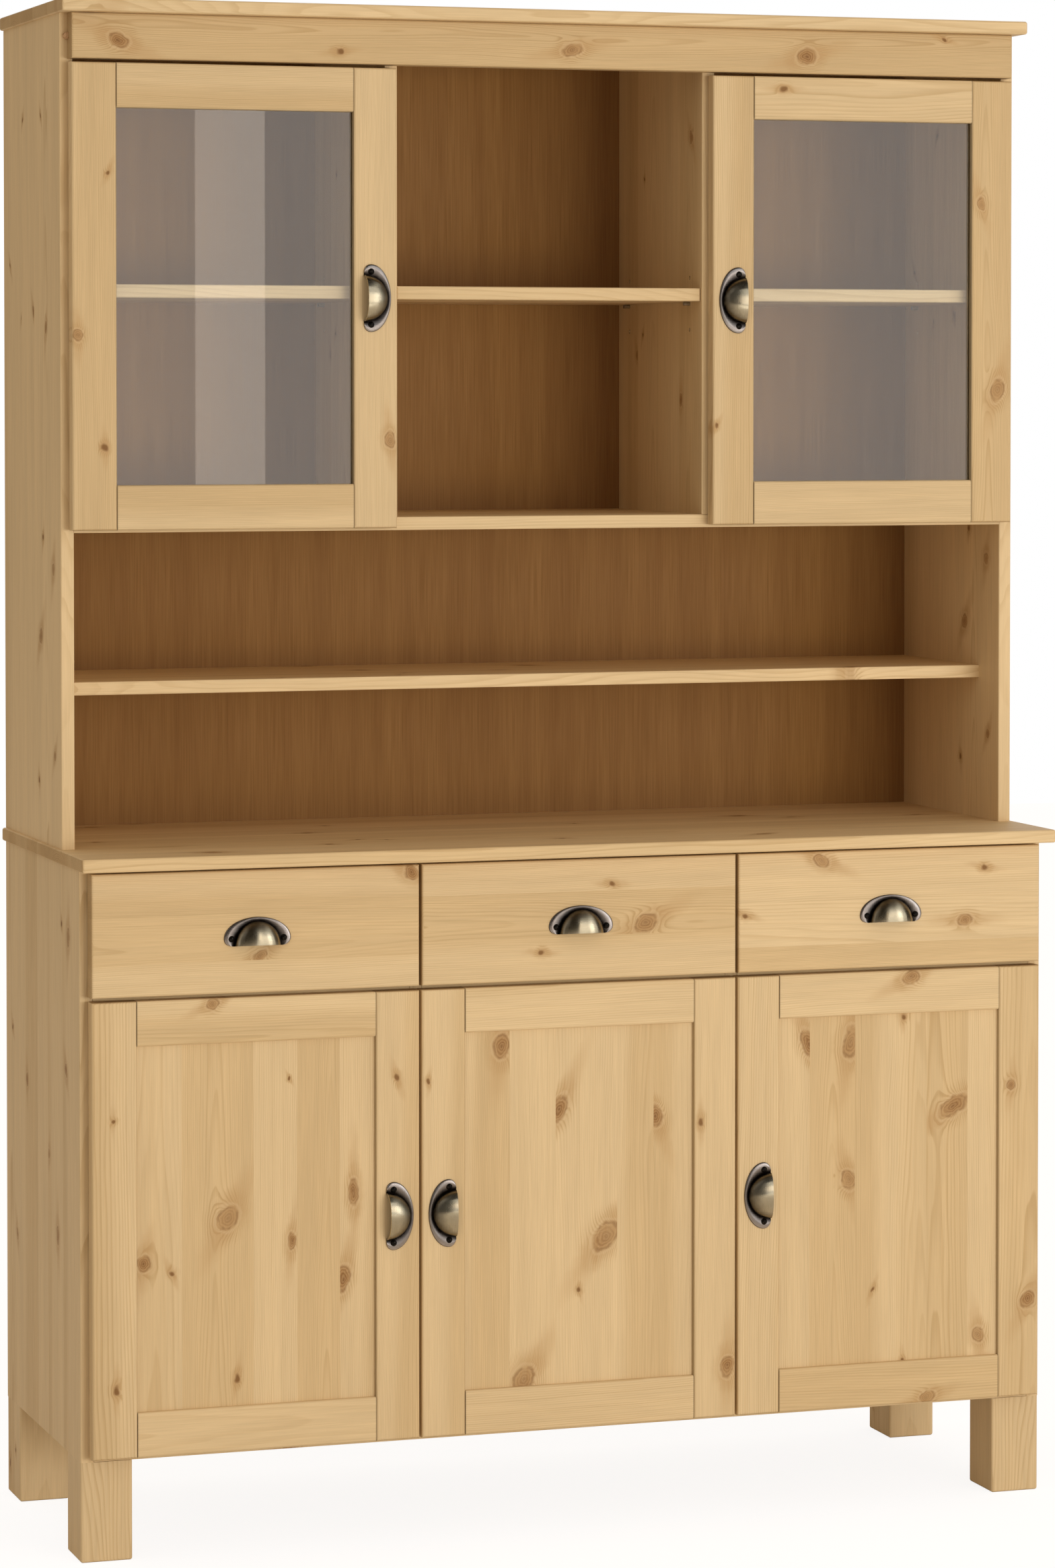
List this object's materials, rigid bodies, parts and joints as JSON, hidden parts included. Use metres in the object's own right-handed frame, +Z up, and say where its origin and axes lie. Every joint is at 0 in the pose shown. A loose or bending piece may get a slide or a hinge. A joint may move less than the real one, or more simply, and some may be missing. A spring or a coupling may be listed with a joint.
{
  "type": "welsh dresser",
  "caption": "Free-standing pine welsh dresser: a base cupboard with drawers and framed doors carries a shallower hutch with glazed doors, an open bay and a plate shelf.",
  "frame": {"origin": "on the floor, under the middle of the whole outline", "axes": "+Z up, +Y to the back that stands at the wall, +X to the right seen from the front"},
  "size_m": [1.23, 0.4396, 1.83],
  "materials": {
    "pine": "clear satin lacquer on knotty pine",
    "back_board": "brown veneered thin board",
    "drawer_board": "bare thin plywood",
    "beech": "bare planed hardwood",
    "glass": "clear float glass",
    "antique_brass": "brushed antique brass, dark in the hollows",
    "black_steel": "blackened steel screw",
    "hinge_steel": "nickel plated steel"
  },
  "bodies": {
    "carcass": {"base_worktop": "pine", "base_sides": "pine", "base_bottom": "pine", "base_partitions": "pine", "base_cross_rails": "pine", "base_shelves": "pine", "legs": "pine", "drawer_runners": "beech", "hutch_top": "pine", "hutch_sides": "pine", "hutch_floor": "pine", "hutch_dividers": "pine", "hutch_plate_shelf": "pine", "hutch_shelves": "pine", "hutch_frieze": "pine", "back_panels": "back_board", "shelf_pins": "hinge_steel", "hinge_arms": "hinge_steel", "hinge_plates": "hinge_steel", "dowels": "beech"},
    "lower_left_door": {"lower_left_door_frame": "pine", "lower_left_door_panel": "pine", "lower_left_door_pull": "antique_brass", "lower_left_door_pull_screws": "black_steel", "lower_left_hinge_cups": "hinge_steel"},
    "lower_middle_door": {"lower_middle_door_frame": "pine", "lower_middle_door_panel": "pine", "lower_middle_door_pull": "antique_brass", "lower_middle_door_pull_screws": "black_steel", "lower_middle_hinge_cups": "hinge_steel"},
    "lower_right_door": {"lower_right_door_frame": "pine", "lower_right_door_panel": "pine", "lower_right_door_pull": "antique_brass", "lower_right_door_pull_screws": "black_steel", "lower_right_hinge_cups": "hinge_steel"},
    "upper_left_door": {"upper_left_door_frame": "pine", "upper_left_door_glass": "glass", "upper_left_door_pull": "antique_brass", "upper_left_door_pull_screws": "black_steel", "upper_left_hinge_cups": "hinge_steel"},
    "upper_right_door": {"upper_right_door_frame": "pine", "upper_right_door_glass": "glass", "upper_right_door_pull": "antique_brass", "upper_right_door_pull_screws": "black_steel", "upper_right_hinge_cups": "hinge_steel"},
    "left_drawer": {"left_drawer_front": "pine", "left_drawer_box": "pine", "left_drawer_bottom": "drawer_board", "left_drawer_pull": "antique_brass", "left_drawer_pull_screws": "black_steel"},
    "middle_drawer": {"middle_drawer_front": "pine", "middle_drawer_box": "pine", "middle_drawer_bottom": "drawer_board", "middle_drawer_pull": "antique_brass", "middle_drawer_pull_screws": "black_steel"},
    "right_drawer": {"right_drawer_front": "pine", "right_drawer_box": "pine", "right_drawer_bottom": "drawer_board", "right_drawer_pull": "antique_brass", "right_drawer_pull_screws": "black_steel"}
  },
  "joints": [
    {"name": "lower_left_door_swing", "type": "hinge", "parent": "carcass", "child": "lower_left_door", "pos_m": [-0.5925, -0.19425, 0.204], "axis": [0, 0, -1], "range_deg": [0, 95]},
    {"name": "lower_middle_door_swing", "type": "hinge", "parent": "carcass", "child": "lower_middle_door", "pos_m": [0.19117, -0.19425, 0.204], "axis": [0, 0, 1], "range_deg": [0, 95]},
    {"name": "lower_right_door_swing", "type": "hinge", "parent": "carcass", "child": "lower_right_door", "pos_m": [0.5925, -0.19425, 0.204], "axis": [0, 0, 1], "range_deg": [0, 95]},
    {"name": "upper_left_door_swing", "type": "hinge", "parent": "carcass", "child": "upper_left_door", "pos_m": [-0.5925, -0.10425, 1.2855], "axis": [0, 0, -1], "range_deg": [0, 95]},
    {"name": "upper_right_door_swing", "type": "hinge", "parent": "carcass", "child": "upper_right_door", "pos_m": [0.5925, -0.10425, 1.2855], "axis": [0, 0, 1], "range_deg": [0, 95]},
    {"name": "left_drawer_slide", "type": "slide", "parent": "carcass", "child": "left_drawer", "axis": [0, -1, 0], "range_m": [0, 0.25]},
    {"name": "middle_drawer_slide", "type": "slide", "parent": "carcass", "child": "middle_drawer", "axis": [0, -1, 0], "range_m": [0, 0.25]},
    {"name": "right_drawer_slide", "type": "slide", "parent": "carcass", "child": "right_drawer", "axis": [0, -1, 0], "range_m": [0, 0.25]}
  ]
}
